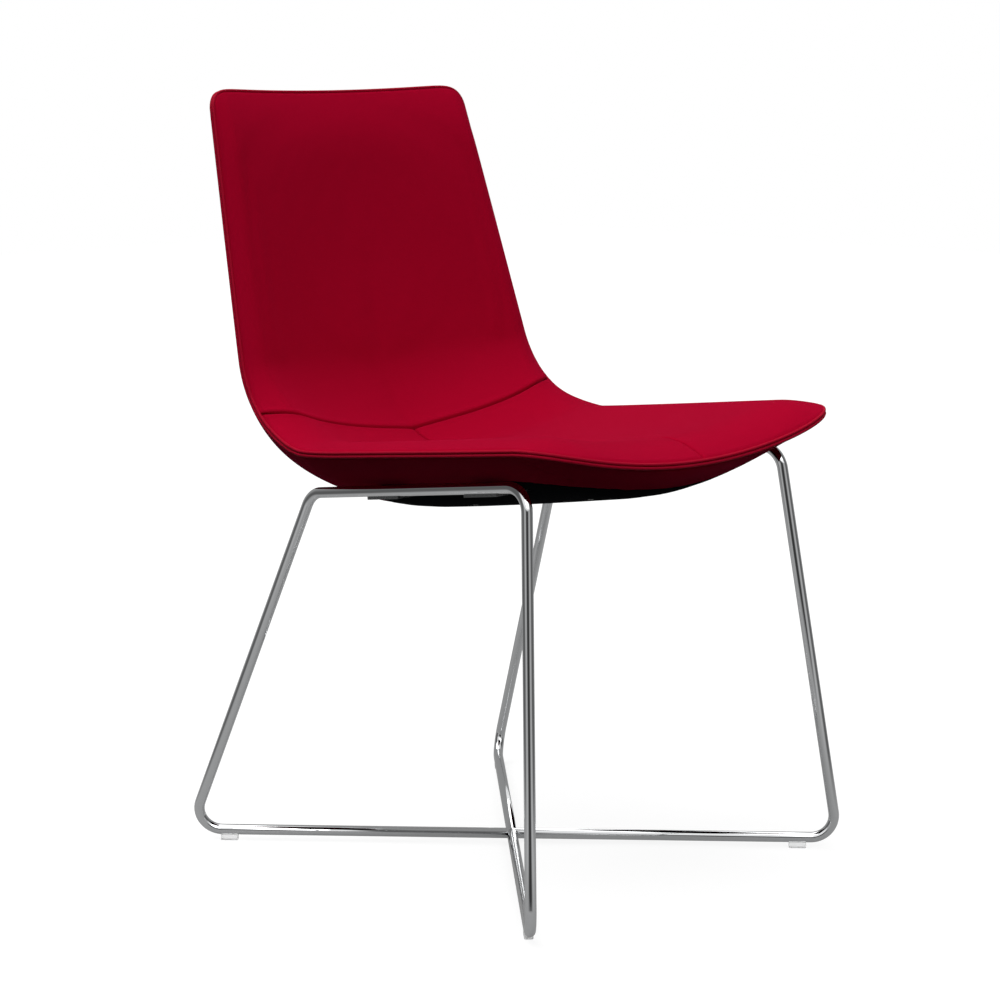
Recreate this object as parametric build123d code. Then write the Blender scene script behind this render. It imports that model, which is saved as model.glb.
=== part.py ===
from build123d import *
import os
from math import atan2, cos, degrees, exp, pi, radians, sin, tan

# Guest chair: a padded one-piece shell on a sled base of bent steel rod.
# The sitter faces -Y, +X is at the sitter's left and the floor is z = 0.
# The shell is described by stations along its edge, from the front lip
# over the seat, round the bend and up to the top of the back. Each station is a
# plane across the chair, in which heights are measured from the edge towards
# the sitter.

# Side profile of the shell's edge: straight seat, one bend, straight back
SEAT_TO_BAR_ANGLE = 1.364
BACK_RECLINE = 15.6
BEND_RADIUS = 114.0
BEND_CORNER_Y = 145.4
BAR_CLEARANCE = 9.7
SEAT_FRONT_Y = -278.2
BACK_TOP_Z = 793.5
SEAM_TILT = 33.0

# Half widths of the shell's outline and its rounded corners
SEAT_HALF_WIDTH = 227.0
FRONT_NARROWING = 5.0
SEAM_NARROWING = 13.0
LUMBAR_NARROWING = 20.0
TOP_NARROWING = 47.5
FRONT_CORNER_LENGTH = 40.0
FRONT_CORNER_FULLNESS = 7.0
TOP_CORNER_LENGTH = 28.0
TOP_CORNER_FULLNESS = 19.0

# Hollow of the shell across the chair, at its middle
FRONT_HOLLOW = 33.0
SEAT_HOLLOW = 42.0
SEAM_HOLLOW = 43.0
LUMBAR_HOLLOW = 34.0
TOP_HOLLOW = 20.0

# Crown of the padding over the sewn edge, and how far the edge rolls inwards
FRONT_CROWN = 24.5
SEAT_CROWN = 24.0
SEAM_CROWN = 25.0
LUMBAR_CROWN = 17.0
TOP_CROWN = 12.0
SEAT_SIDE_ROLL = 70.0
LUMBAR_SIDE_ROLL = 36.0
TOP_SIDE_ROLL = 28.0
FRONT_ROLL = 60.0
TOP_ROLL = 28.0

# Padding and hull outside the shell
FRONT_BELLY = 28.0
SEAT_BELLY = 33.0
SEAM_BELLY = 30.0
LUMBAR_BELLY = 13.0
TOP_BELLY = 9.5
SEAT_BELLY_FLAT = 1.0
SEAM_BELLY_ROLL = 110.0
BACK_BELLY_ROLL = 26.0
FRONT_BELLY_LENGTH = 80.0
TOP_BELLY_LENGTH = 22.0

# Sewn edge, seams and covers
LIP_HEIGHT = 2.5
COVER_THICKNESS = 2.2
SEAM_GROOVE = 3.0
SEAM_GROOVE_LENGTH = 9.0
SEAM_PINCH = 8.0
PINCH_WIDTH = 50.0
PINCH_LENGTH = 60.0
SEWING_GAP = 0.4
FOAM_GAP = 1.0

# Moulded plywood shell inside the padding
PLY_THICKNESS = 8.0
PLY_INSET = 14.0
PLY_CORNER_LENGTH = 60.0
PLY_CORNER_FULLNESS = 5.0
OUTER_FOAM_INSET = 18.0
OUTER_FOAM_GAP = 2.6
GLUE_GAP = 0.4

# Black pan under the seat
PAN_FRONT = 40.0
PAN_REAR = 350.0
PAN_INSET = 65.0
PAN_CORNER_LENGTH = 70.0
PAN_CORNER_FULLNESS = 4.0
PAN_WALL = 3.0
PAN_GAP = 0.5
PAN_POST_DIAMETER = 12.0
PAN_POST_X = 66.0
PAN_POST_FRONT_Y = -190.0
PAN_POST_REAR_Y = -30.0
PAN_SCREW_DIAMETER = 4.0
PAN_SCREW_HEAD_DIAMETER = 8.0
PAN_SCREW_HEAD_HEIGHT = 2.4
PAN_SCREW_BITE = 5.0

# Sled base of round rod
ROD_DIAMETER = 11.1
ROD_BEND_RADIUS = 24.0
BASE_CENTRE_Y = -15.7
FOOT_HALF_WIDTH = 231.0
FOOT_HALF_LENGTH = 255.1
FRONT_BAR_INSET = 41.5
FRONT_TOP_REACH = 204.6
FRONT_TOP_HEIGHT = 429.8
REAR_BAR_INSET = 46.0
REAR_TOP_REACH = 108.0
REAR_TOP_HEIGHT = 386.9

# Clear glides pegged into the floor bars
GLIDE_LENGTH = 18.0
GLIDE_WIDTH = 9.0
GLIDE_SOLE = 5.6
GLIDE_WRAP = 1.6
GLIDE_EDGE = 1.2
GLIDE_FROM_CORNER = 42.0
PEG_DIAMETER = 4.0
PEG_LENGTH = 4.0
PEG_CLEARANCE = 0.1

# Mounting tabs welded under the top bars, and their bolts
TAB_LENGTH = 45.0
TAB_TIP_LENGTH = 28.0
TAB_THICKNESS = 3.0
TAB_TIP_INSET = 131.0
TAB_CORNER = 6.0
TAB_FRONT_OFFSET = -140.0
TAB_REAR_OFFSET = 0.0
TAB_SLOT_CLEARANCE = 1.0
BOLT_FROM_TIP = 16.0
BOLT_DIAMETER = 6.0
BOLT_CLEARANCE = 0.3
BOLT_HEAD_DIAMETER = 11.0
BOLT_HEAD_HEIGHT = 3.4
WASHER_DIAMETER = 14.0
WASHER_THICKNESS = 1.2
SPACER_DIAMETER = 16.0
NUT_FLANGE_DIAMETER = 20.0
NUT_FLANGE_THICKNESS = 1.5
NUT_SEAT_RISE = 0.5
NUT_BARREL_DIAMETER = 8.0
NUT_BARREL_LENGTH = 2.4
NUT_CLEARANCE = 0.2
THREAD_CLEARANCE = 0.05

# Values worked out from the driving dimensions
EDGE_START = 0.4
WIDEST_SHOULDER = 0.78
WIDEST_SEAT_SHARE = 0.4
FRONT_STEPS = 8
SEAT_STEPS = 3
BEND_STEPS = 4
BACK_STEPS = 3
TOP_STEPS = 6
PAN_STEPS = 14
PAN_CLOSENESS = 0.9
NEAREST_STATIONS = 1.5
SEATING_ROUNDS = 6
ROD_RADIUS = ROD_DIAMETER / 2
FOOT_HEIGHT = GLIDE_SOLE + ROD_RADIUS
FRONT_HALF_WIDTH = SEAT_HALF_WIDTH - FRONT_NARROWING
SEAM_HALF_WIDTH = SEAT_HALF_WIDTH - SEAM_NARROWING
LUMBAR_HALF_WIDTH = SEAT_HALF_WIDTH - LUMBAR_NARROWING
TOP_HALF_WIDTH = SEAT_HALF_WIDTH - TOP_NARROWING
SEAT_BELLY_ROLL = SEAT_HALF_WIDTH - SEAT_BELLY_FLAT
FRONT_TOP_HALF_WIDTH = SEAT_HALF_WIDTH - FRONT_BAR_INSET
REAR_TOP_HALF_WIDTH = SEAT_HALF_WIDTH - REAR_BAR_INSET
PAN_HALF_WIDTH = SEAT_HALF_WIDTH - PAN_INSET
TAB_INNER_X = SEAT_HALF_WIDTH - TAB_TIP_INSET
BOLT_X = TAB_INNER_X + BOLT_FROM_TIP
BAR_SLOPE = degrees(atan2(FRONT_TOP_HEIGHT - REAR_TOP_HEIGHT, FRONT_TOP_REACH + REAR_TOP_REACH))
BAR_END_Y = BASE_CENTRE_Y + REAR_TOP_REACH
SEAT_EDGE_SLOPE = BAR_SLOPE - SEAT_TO_BAR_ANGLE
BAR_UNDER_CORNER_Z = REAR_TOP_HEIGHT - (BEND_CORNER_Y - BAR_END_Y) * tan(radians(BAR_SLOPE))
HOLLOW_AT_BAR = SEAT_HOLLOW * (1 - (REAR_TOP_HALF_WIDTH / SEAT_HALF_WIDTH) ** 2)
BELLY_AT_BAR = SEAT_BELLY * (1 - (1 - REAR_BAR_INSET / SEAT_BELLY_ROLL) ** 2)
HULL_DEPTH_AT_BAR = HOLLOW_AT_BAR + LIP_HEIGHT + BELLY_AT_BAR
BEND_CORNER_Z = BAR_UNDER_CORNER_Z + ROD_RADIUS + BAR_CLEARANCE + HULL_DEPTH_AT_BAR
BEND_TURN = 90 - BACK_RECLINE + SEAT_EDGE_SLOPE
BEND_TANGENT = BEND_RADIUS * tan(radians(BEND_TURN / 2))
BEND_START_Y = BEND_CORNER_Y - BEND_TANGENT * cos(radians(SEAT_EDGE_SLOPE))
BEND_START_Z = BEND_CORNER_Z + BEND_TANGENT * sin(radians(SEAT_EDGE_SLOPE))
BEND_END_Y = BEND_CORNER_Y + BEND_TANGENT * sin(radians(BACK_RECLINE))
BEND_END_Z = BEND_CORNER_Z + BEND_TANGENT * cos(radians(BACK_RECLINE))
BEND_CENTRE_Y = BEND_START_Y + BEND_RADIUS * sin(radians(SEAT_EDGE_SLOPE))
BEND_CENTRE_Z = BEND_START_Z + BEND_RADIUS * cos(radians(SEAT_EDGE_SLOPE))
S_BEND = (BEND_START_Y - SEAT_FRONT_Y) / cos(radians(SEAT_EDGE_SLOPE))
S_BACK = S_BEND + BEND_RADIUS * radians(BEND_TURN)
S_TOP = S_BACK + (BACK_TOP_Z - BEND_END_Z) / cos(radians(BACK_RECLINE))
S_SEAM = S_BEND + BEND_RADIUS * radians(SEAM_TILT + SEAT_EDGE_SLOPE)
S_MIDSEAT = WIDEST_SEAT_SHARE * S_BEND
PLY_HALF = PLY_THICKNESS / 2


def knot_slope(knots, i):
    """Slope of a smooth line at knot i, zero where the line turns round."""
    secants = [(b[1] - a[1]) / (b[0] - a[0]) for a, b in zip(knots, knots[1:])]
    if i == 0:
        return secants[0]
    if i == len(knots) - 1:
        return secants[-1]
    before, after = secants[i - 1], secants[i]
    if before * after <= 0:
        return 0.0
    return 2 * before * after / (before + after)


def ease(s, knots):
    """Smooth value at station s through (station, value) knots."""
    i = 0
    while i < len(knots) - 2 and s > knots[i + 1][0]:
        i += 1
    start, end = knots[i], knots[i + 1]
    span = end[0] - start[0]
    t = (s - start[0]) / span
    rise_start = knot_slope(knots, i) * span * t * (1 - t) ** 2
    rise_end = knot_slope(knots, i + 1) * span * t**2 * (t - 1)
    return start[1] * (1 + 2 * t) * (1 - t) ** 2 + end[1] * t**2 * (3 - 2 * t) + rise_start + rise_end


def rise(distance, length):
    """Share of full height at a distance in from an edge, rounded over a length."""
    return 1 - (1 - min(max(distance / length, 0.0), 1.0)) ** 2


def width(s):
    """Half width of the shell before its corners are rounded."""
    return ease(s, [(0, FRONT_HALF_WIDTH), (S_MIDSEAT, SEAT_HALF_WIDTH), (S_BEND, SEAT_HALF_WIDTH),
                    (S_SEAM, SEAM_HALF_WIDTH), (S_BACK, LUMBAR_HALF_WIDTH), (S_TOP, TOP_HALF_WIDTH)])


def outline(s):
    """Half width of the sewn edge."""
    front = rise(s, FRONT_CORNER_LENGTH) ** (1 / FRONT_CORNER_FULLNESS)
    top = rise(S_TOP - s, TOP_CORNER_LENGTH) ** (1 / TOP_CORNER_FULLNESS)
    return width(s) * front * top


def ply_outline(s):
    """Half width of the plywood shell and of the padding glued on it."""
    front = rise(s - PLY_INSET, PLY_CORNER_LENGTH) ** (1 / PLY_CORNER_FULLNESS)
    top = rise(S_TOP - PLY_INSET - s, PLY_CORNER_LENGTH) ** (1 / PLY_CORNER_FULLNESS)
    return (width(s) - PLY_INSET) * front * top


def outer_foam_outline(s):
    """Half width of the padding outside the plywood."""
    return ply_outline(s) - OUTER_FOAM_INSET


def pan_outline(s):
    """Half width of the pan under the seat."""
    front = rise(s - PAN_FRONT, PAN_CORNER_LENGTH) ** (1 / PAN_CORNER_FULLNESS)
    rear = rise(PAN_REAR - s, PAN_CORNER_LENGTH) ** (1 / PAN_CORNER_FULLNESS)
    return PAN_HALF_WIDTH * front * rear


def pan_opening_outline(s):
    """Half width of the opening that the pan closes."""
    inside = min(max(s, PAN_FRONT + EDGE_START), PAN_REAR - EDGE_START)
    return pan_outline(inside) + 2 * PAN_GAP


def side_roll(s):
    """Length over which the padding rolls up from the sewn edge."""
    return ease(s, [(0, SEAT_SIDE_ROLL), (S_BEND, SEAT_SIDE_ROLL), (S_BACK, LUMBAR_SIDE_ROLL),
                    (S_TOP, TOP_SIDE_ROLL)])


def middle_height(x, s):
    """Height of the plywood's middle surface."""
    hollow = ease(s, [(0, FRONT_HOLLOW), (S_BEND, SEAT_HOLLOW), (S_SEAM, SEAM_HOLLOW),
                      (S_BACK, LUMBAR_HOLLOW), (S_TOP, TOP_HOLLOW)])
    return -hollow * (1 - (x / width(s)) ** 2)


def cushion_height(x, s):
    """Height of the padded face that the sitter touches."""
    crown = ease(s, [(0, FRONT_CROWN), (S_BEND, SEAT_CROWN), (S_SEAM, SEAM_CROWN),
                     (S_BACK, LUMBAR_CROWN), (S_TOP, TOP_CROWN)])
    crown *= rise(outline(s) - abs(x), side_roll(s))
    crown *= rise(s, FRONT_ROLL) * rise(S_TOP - s, TOP_ROLL)
    pinch = SEAM_PINCH * exp(-abs(x) / PINCH_WIDTH - ((s - S_SEAM) / PINCH_LENGTH) ** 2)
    groove = SEAM_GROOVE * (1 - rise(abs(s - S_SEAM), SEAM_GROOVE_LENGTH))
    groove *= rise(outline(s) - abs(x), SEAM_GROOVE_LENGTH)
    return middle_height(x, s) + LIP_HEIGHT + crown - pinch - groove


def hull_height(x, s):
    """Height of the outside of the shell, below the seat and behind the back."""
    belly = ease(s, [(0, FRONT_BELLY), (S_BEND, SEAT_BELLY), (S_SEAM, SEAM_BELLY),
                     (S_BACK, LUMBAR_BELLY), (S_TOP, TOP_BELLY)])
    roll = ease(s, [(0, SEAT_BELLY_ROLL), (S_BEND, SEAT_BELLY_ROLL), (S_SEAM, SEAM_BELLY_ROLL),
                    (S_BACK, BACK_BELLY_ROLL), (S_TOP, BACK_BELLY_ROLL)])
    belly *= rise(outline(s) - abs(x), roll)
    belly *= rise(s, FRONT_BELLY_LENGTH) * rise(S_TOP - s, TOP_BELLY_LENGTH)
    return middle_height(x, s) - LIP_HEIGHT - belly


def below(surface, depth):
    """Surface at a depth under another, seen from the sitter."""
    return lambda x, s: surface(x, s) - depth


def station_plane(s):
    """Plane across the chair at station s, with local y towards the sitter."""
    if s <= S_BEND:
        tilt = -radians(SEAT_EDGE_SLOPE)
        along = s - S_BEND
        y, z = BEND_START_Y + along * cos(tilt), BEND_START_Z + along * sin(tilt)
    elif s < S_BACK:
        tilt = (s - S_BEND) / BEND_RADIUS - radians(SEAT_EDGE_SLOPE)
        y = BEND_CENTRE_Y + BEND_RADIUS * sin(tilt)
        z = BEND_CENTRE_Z - BEND_RADIUS * cos(tilt)
    else:
        tilt = radians(90 - BACK_RECLINE)
        along = s - S_BACK
        y, z = BEND_END_Y + along * cos(tilt), BEND_END_Z + along * sin(tilt)
    return Plane(origin=(0, y, z), x_dir=(1, 0, 0), z_dir=(0, -cos(tilt), -sin(tilt)))


def curve(s, surface, places):
    """Arcs across the chair at station s, two places apart, on a surface."""
    plane = station_plane(s)
    points = [plane.from_local_coords((x, surface(x, s))) for x in places]
    return [ThreePointArc(*points[i:i + 3]) for i in range(0, len(points) - 2, 2)]


def rolled(surface):
    """Curve on a surface whose sides roll over: four arcs, parted at the shoulders."""
    def across(s, edge, start):
        shoulder = min(outline(s) - side_roll(s), WIDEST_SHOULDER * edge)
        right = [shoulder / 2, shoulder, (shoulder + edge) / 2, edge]
        left = [start] if start else [-x for x in reversed(right)] + [0]
        return curve(s, surface, left + right)
    return across


def plain(surface):
    """Curve on a surface with no rolled sides: two arcs, parted at the middle."""
    def across(s, edge, start):
        return curve(s, surface, [-edge, -edge / 2, 0, edge / 2, edge])
    return across


def section(s, upper, lower, half_width, start):
    """Closed wire between two curves, over the full width or from a start."""
    over = upper(s, half_width(s), start)
    under = lower(s, half_width(s), start)
    ends = [Line(over[0] @ 0, under[0] @ 0), Line(over[-1] @ 1, under[-1] @ 1)]
    return Wire(over + under + ends)


def layer(stations, upper, lower, half_width, start=None):
    """Solid sheet of padding, cover or shell between two kinds of curve."""
    return Solid.make_loft([section(s, upper, lower, half_width, start) for s in stations], ruled=True)


def evenly(first, last, count):
    """Stations after first, evenly up to last."""
    return [first + (last - first) * (i + 1) / count for i in range(count)]


def shared_stations():
    """Stations that every layer shares, so that neighbours keep their gaps."""
    front = [FRONT_BELLY_LENGTH * share**2 for share in evenly(0, 1, FRONT_STEPS)]
    seat = evenly(FRONT_BELLY_LENGTH, S_BEND, SEAT_STEPS)
    before, after = S_SEAM - SEAM_GROOVE_LENGTH, S_SEAM + SEAM_GROOVE_LENGTH
    bend = evenly(S_BEND, before, BEND_STEPS) + [S_SEAM - SEAM_GROOVE_LENGTH / 2]
    bend += [S_SEAM + SEAM_GROOVE_LENGTH / 2, after] + evenly(after, S_BACK, BEND_STEPS)
    back = evenly(S_BACK, S_TOP - TOP_ROLL, BACK_STEPS)
    top = [S_TOP - TOP_ROLL * (1 - share) ** 2 for share in evenly(0, 1, TOP_STEPS)]
    return front + seat + bend + back + top


def stations(first, last):
    """The shared stations between first and last, and these two."""
    inner = [s for s in shared_stations() if first + NEAREST_STATIONS < s < last - NEAREST_STATIONS]
    return [first] + inner + [last]


def rounded_stations(first, last, count):
    """Stations from first to last, close together at both ends."""
    spread = [i / count - PAN_CLOSENESS * sin(2 * pi * i / count) / (2 * pi) for i in range(count + 1)]
    return [first + (last - first) * share for share in spread]


def upright(radius, bottom, top):
    """Cylinder between two heights."""
    return Pos(0, 0, bottom) * Cylinder(radius, top - bottom, align=(Align.CENTER, Align.CENTER, Align.MIN))


def rod(points):
    """Round rod along straight runs joined by bends."""
    path = FilletPolyline(*points, radius=ROD_BEND_RADIUS)
    return sweep(Plane(origin=path @ 0, z_dir=path % 0) * Circle(ROD_RADIUS), path=path)


def top_bar_point(side, offset):
    """Point on a top bar's centre line at an offset from the base's centre."""
    share = (offset + FRONT_TOP_REACH) / (FRONT_TOP_REACH + REAR_TOP_REACH)
    x = FRONT_TOP_HALF_WIDTH + (REAR_TOP_HALF_WIDTH - FRONT_TOP_HALF_WIDTH) * share
    z = FRONT_TOP_HEIGHT + (REAR_TOP_HEIGHT - FRONT_TOP_HEIGHT) * share
    return Vector(side * x, BASE_CENTRE_Y + offset, z)


def foot_corner(side, end):
    """Corner of the base on the floor: end is -1 at the front, 1 at the rear."""
    return Vector(side * FOOT_HALF_WIDTH, BASE_CENTRE_Y + end * FOOT_HALF_LENGTH, FOOT_HEIGHT)


def glide_plane(side, end):
    """Plane on the floor under a glide, with local x along the floor bar."""
    corner = foot_corner(side, end)
    inward = Vector(0, BASE_CENTRE_Y, FOOT_HEIGHT) - corner
    spot = corner + inward.normalized() * GLIDE_FROM_CORNER
    return Plane(origin=(spot.X, spot.Y, 0), x_dir=inward, z_dir=(0, 0, 1))


def frame_loop(side):
    """One side's loop of rod, from the floor crossing and back to it."""
    crossing = Vector(0, BASE_CENTRE_Y, FOOT_HEIGHT)
    front, rear = foot_corner(side, -1), foot_corner(side, 1)
    over = ROD_DIAMETER
    front_end = crossing + (crossing - front).normalized() * over
    rear_end = crossing + (crossing - rear).normalized() * over
    join = top_bar_point(side, (REAR_TOP_REACH - FRONT_TOP_REACH) / 2)
    front_half = rod([front_end, front, top_bar_point(side, -FRONT_TOP_REACH), join])
    rear_half = rod([rear_end, rear, top_bar_point(side, REAR_TOP_REACH), join])
    loop = front_half + rear_half
    loop = split(loop, bisect_by=Plane(origin=(0, 0, 0), z_dir=(side, 0, 0)), keep=Keep.TOP)
    for end in (-1, 1):
        depth = GLIDE_SOLE + PEG_LENGTH + PEG_CLEARANCE
        loop -= glide_plane(side, end) * upright(PEG_DIAMETER / 2 + PEG_CLEARANCE, 0, depth)
    return loop


def glide():
    """Clear glide with its sole on z = 0, a trough for the rod and a peg."""
    height = GLIDE_SOLE + GLIDE_WRAP
    body = Box(GLIDE_LENGTH, GLIDE_WIDTH, height, align=(Align.CENTER, Align.CENTER, Align.MIN))
    body = fillet(body.edges().filter_by(Axis.Z), GLIDE_EDGE)
    body = chamfer(body.faces().sort_by(Axis.Z)[0].edges(), GLIDE_EDGE / 2)
    trough = Rot(0, 90, 0) * Cylinder(ROD_RADIUS + PEG_CLEARANCE, 2 * GLIDE_LENGTH)
    peg = upright(PEG_DIAMETER / 2, GLIDE_SOLE / 2, GLIDE_SOLE + PEG_LENGTH)
    return body - Pos(0, 0, FOOT_HEIGHT) * trough + peg


def tab_plane(side, offset):
    """Plane on top of a tab, at the middle of the chair, square to the top bar."""
    bar = top_bar_point(side, offset)
    run = top_bar_point(1, REAR_TOP_REACH) - top_bar_point(1, -FRONT_TOP_REACH)
    up = Vector(0, -run.Z, run.Y).normalized()
    top = bar - up * ROD_RADIUS
    return Plane(origin=(0, top.Y, top.Z), x_dir=(1, 0, 0), z_dir=up)


def tab_blank(side, offset, grow):
    """Tapered tab plate from the top bar inwards, grown by a clearance."""
    outer = top_bar_point(side, offset).X
    root, tip = TAB_LENGTH / 2 + grow, TAB_TIP_LENGTH / 2 + grow
    inner = side * (TAB_INNER_X - grow)
    plate = make_face(Polyline((outer, -root), (outer, root), (inner, tip), (inner, -tip), close=True))
    plate = fillet(plate.vertices().sort_by_distance((0, 0, 0))[:2], TAB_CORNER + grow)
    tall = TAB_THICKNESS + 2 * grow
    return tab_plane(side, offset) * Pos(0, 0, grow - tall) * extrude(plate, tall, dir=(0, 0, 1))


def height_to(surface, plane, x):
    """Distance from a plane, along its normal at x, up to a surface of the seat."""
    start = plane.from_local_coords((x, 0, 0))
    distance = 0.0
    for _ in range(SEATING_ROUNDS):
        point = start + plane.z_dir * distance
        s = (point.Y - SEAT_FRONT_Y) / cos(radians(SEAT_EDGE_SLOPE))
        s -= surface(x, s) * tan(radians(SEAT_EDGE_SLOPE))
        target = station_plane(s).from_local_coords((x, surface(x, s)))
        distance += target.Z - point.Z
    return distance


# The four bolt positions: name, side and offset along the top bar
CORNERS = [(f"{end}_{hand}", side, offset)
           for end, offset in (("front", TAB_FRONT_OFFSET), ("rear", TAB_REAR_OFFSET))
           for hand, side in (("right", -1), ("left", 1))]

# Padded shell, layer by layer
ply_top = plain(below(middle_height, -PLY_HALF))
ply_bottom = plain(below(middle_height, PLY_HALF))
ply_stations = stations(PLY_INSET + EDGE_START, S_TOP - PLY_INSET - EDGE_START)
inner_shell = layer(ply_stations, ply_top, ply_bottom, ply_outline)
ply_blank = inner_shell

cover_top = rolled(cushion_height)
cover_bottom = rolled(below(cushion_height, COVER_THICKNESS))
foam_top = rolled(below(cushion_height, COVER_THICKNESS + FOAM_GAP))
foam_bottom = plain(below(middle_height, -PLY_HALF - GLUE_GAP))
seat_end, back_start = S_SEAM - SEWING_GAP / 2, S_SEAM + SEWING_GAP / 2
seat_foam = layer(stations(ply_stations[0], seat_end), foam_top, foam_bottom, ply_outline)
back_foam = layer(stations(back_start, ply_stations[-1]), foam_top, foam_bottom, ply_outline)
seat_stations = stations(EDGE_START, seat_end)
seat_cover_left = layer(seat_stations, cover_top, cover_bottom, outline, SEWING_GAP / 2)
back_stations = stations(back_start, S_TOP - EDGE_START)
back_cover = layer(back_stations, cover_top, cover_bottom, outline)

hull = rolled(hull_height)
hull_inside = rolled(below(hull_height, -COVER_THICKNESS))
outer_foam_top = plain(below(middle_height, PLY_HALF + GLUE_GAP))
outer_foam_bottom = rolled(below(hull_height, -COVER_THICKNESS - OUTER_FOAM_GAP))
outer_foam = layer(ply_stations, outer_foam_top, outer_foam_bottom, outer_foam_outline)
outer_cover = layer(stations(EDGE_START, S_TOP - EDGE_START), hull_inside, hull, outline)

# Pan, and the opening for it in the outer cover and padding
pan_stations = rounded_stations(PAN_FRONT + EDGE_START, PAN_REAR - EDGE_START, PAN_STEPS)
belly_pan = layer(pan_stations, plain(below(hull_height, -PAN_WALL)), plain(hull_height), pan_outline)
opening_stations = [pan_stations[0] - PAN_GAP] + pan_stations + [pan_stations[-1] + PAN_GAP]
opening_top, opening_bottom = plain(middle_height), plain(below(hull_height, 2 * PAN_WALL))
opening = layer(opening_stations, opening_top, opening_bottom, pan_opening_outline)
outer_foam -= opening
outer_cover -= opening

# Base
parts = {}
for hand, side in (("right", -1), ("left", 1)):
    parts[f"frame_loop_{hand}"] = frame_loop(side)
    for where, end in (("front", -1), ("rear", 1)):
        parts[f"glide_{where}_{hand}"] = glide_plane(side, end) * glide()

# Tabs and the bolts that hold the plywood on them
spacers, nuts, bolts, washers = [], [], [], []
bolt_hole = BOLT_DIAMETER / 2 + BOLT_CLEARANCE
for name, side, offset in CORNERS:
    plane = tab_plane(side, offset)
    axis = plane * Pos(side * BOLT_X, 0, 0)
    to_ply = height_to(middle_height, plane, side * BOLT_X)
    tab_hole = axis * upright(bolt_hole, -2 * TAB_THICKNESS, TAB_THICKNESS)
    parts[f"mount_tab_{name}"] = tab_blank(side, offset, 0) - tab_hole
    belly_pan -= tab_blank(side, offset, TAB_SLOT_CLEARANCE)
    spacer = axis * (upright(SPACER_DIAMETER / 2, 0, to_ply) - upright(bolt_hole, 0, to_ply))
    spacers.append(spacer - ply_blank)
    nut_seat = to_ply + NUT_SEAT_RISE
    nut_top = nut_seat + NUT_FLANGE_THICKNESS
    nut = upright(NUT_FLANGE_DIAMETER / 2, nut_seat, nut_top)
    nut += upright(NUT_BARREL_DIAMETER / 2, nut_seat - NUT_BARREL_LENGTH, nut_seat)
    nut -= upright(BOLT_DIAMETER / 2 + THREAD_CLEARANCE, nut_seat - NUT_BARREL_LENGTH, nut_top)
    nuts.append(axis * nut)
    inner_shell -= axis * upright(NUT_BARREL_DIAMETER / 2 + NUT_CLEARANCE, 0, nut_top)
    flange_hole = NUT_FLANGE_DIAMETER / 2 + NUT_CLEARANCE
    inner_shell -= axis * upright(flange_hole, nut_seat, nut_seat + PLY_THICKNESS)
    washer = upright(WASHER_DIAMETER / 2, -TAB_THICKNESS - WASHER_THICKNESS, -TAB_THICKNESS)
    washers.append(axis * (washer - upright(bolt_hole, -2 * TAB_THICKNESS, 0)))
    head_top = -TAB_THICKNESS - WASHER_THICKNESS
    bolt = upright(BOLT_HEAD_DIAMETER / 2, head_top - BOLT_HEAD_HEIGHT, head_top)
    bolt = chamfer(bolt.edges().sort_by(Axis.Z)[0], BOLT_HEAD_HEIGHT / 2)
    bolts.append(axis * (bolt + upright(BOLT_DIAMETER / 2, head_top, nut_top)))
    pocket_floor = head_top - BOLT_HEAD_HEIGHT - TAB_SLOT_CLEARANCE
    belly_pan -= axis * upright(WASHER_DIAMETER / 2 + TAB_SLOT_CLEARANCE, pocket_floor, 0)

# Posts and screws that hold the pan up against the plywood
pan_screws = []
for side in (-1, 1):
    for y in (PAN_POST_FRONT_Y, PAN_POST_REAR_Y):
        spot = Plane(origin=(0, y, 0))
        ply_z = height_to(middle_height, spot, side * PAN_POST_X)
        pan_z = height_to(hull_height, spot, side * PAN_POST_X)
        axis = spot * Pos(side * PAN_POST_X, 0, 0)
        belly_pan += axis * upright(PAN_POST_DIAMETER / 2, pan_z + PAN_WALL / 2, ply_z) - ply_blank
        recess = pan_z + PAN_WALL
        head_hole = PAN_SCREW_HEAD_DIAMETER / 2 + PEG_CLEARANCE
        belly_pan -= axis * upright(head_hole, pan_z - PAN_WALL, recess)
        belly_pan -= axis * upright(PAN_SCREW_DIAMETER / 2 + PEG_CLEARANCE, pan_z, ply_z)
        screw = upright(PAN_SCREW_HEAD_DIAMETER / 2, recess - PAN_SCREW_HEAD_HEIGHT, recess)
        screw_end = ply_z - PLY_HALF + PAN_SCREW_BITE
        screw += upright(PAN_SCREW_DIAMETER / 2, recess, screw_end)
        pan_screws.append(axis * screw)
        inner_shell -= axis * upright(PAN_SCREW_DIAMETER / 2, ply_z - PLY_THICKNESS, screw_end)

parts["inner_shell"] = inner_shell
parts["seat_foam"] = seat_foam
parts["back_foam"] = back_foam
parts["outer_foam"] = outer_foam
parts["seat_cover_left"] = seat_cover_left
parts["seat_cover_right"] = mirror(seat_cover_left, about=Plane.YZ)
parts["back_cover"] = back_cover
parts["outer_cover"] = outer_cover
parts["belly_pan"] = belly_pan
parts["pan_screws"] = Compound(children=pan_screws)
parts["mount_spacers"] = Compound(children=spacers)
parts["tee_nuts"] = Compound(children=nuts)
parts["mount_bolts"] = Compound(children=bolts)
parts["mount_washers"] = Compound(children=washers)

os.makedirs("parts", exist_ok=True)
for node, shape in parts.items():
    export_step(shape, f"parts/{node}.step")
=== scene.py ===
"""Guest chair: the looks of a padded one-piece shell on a sled base of chromed rod.

Sizes are in millimetres, as on the chair, and are turned into metres where a
point is placed. The sitter faces -Y, +X is at the sitter's left and the floor
is z = 0. The shell is described by stations along its edge, from the front lip
over the seat, round the bend and up to the top of the back.
"""

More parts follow.
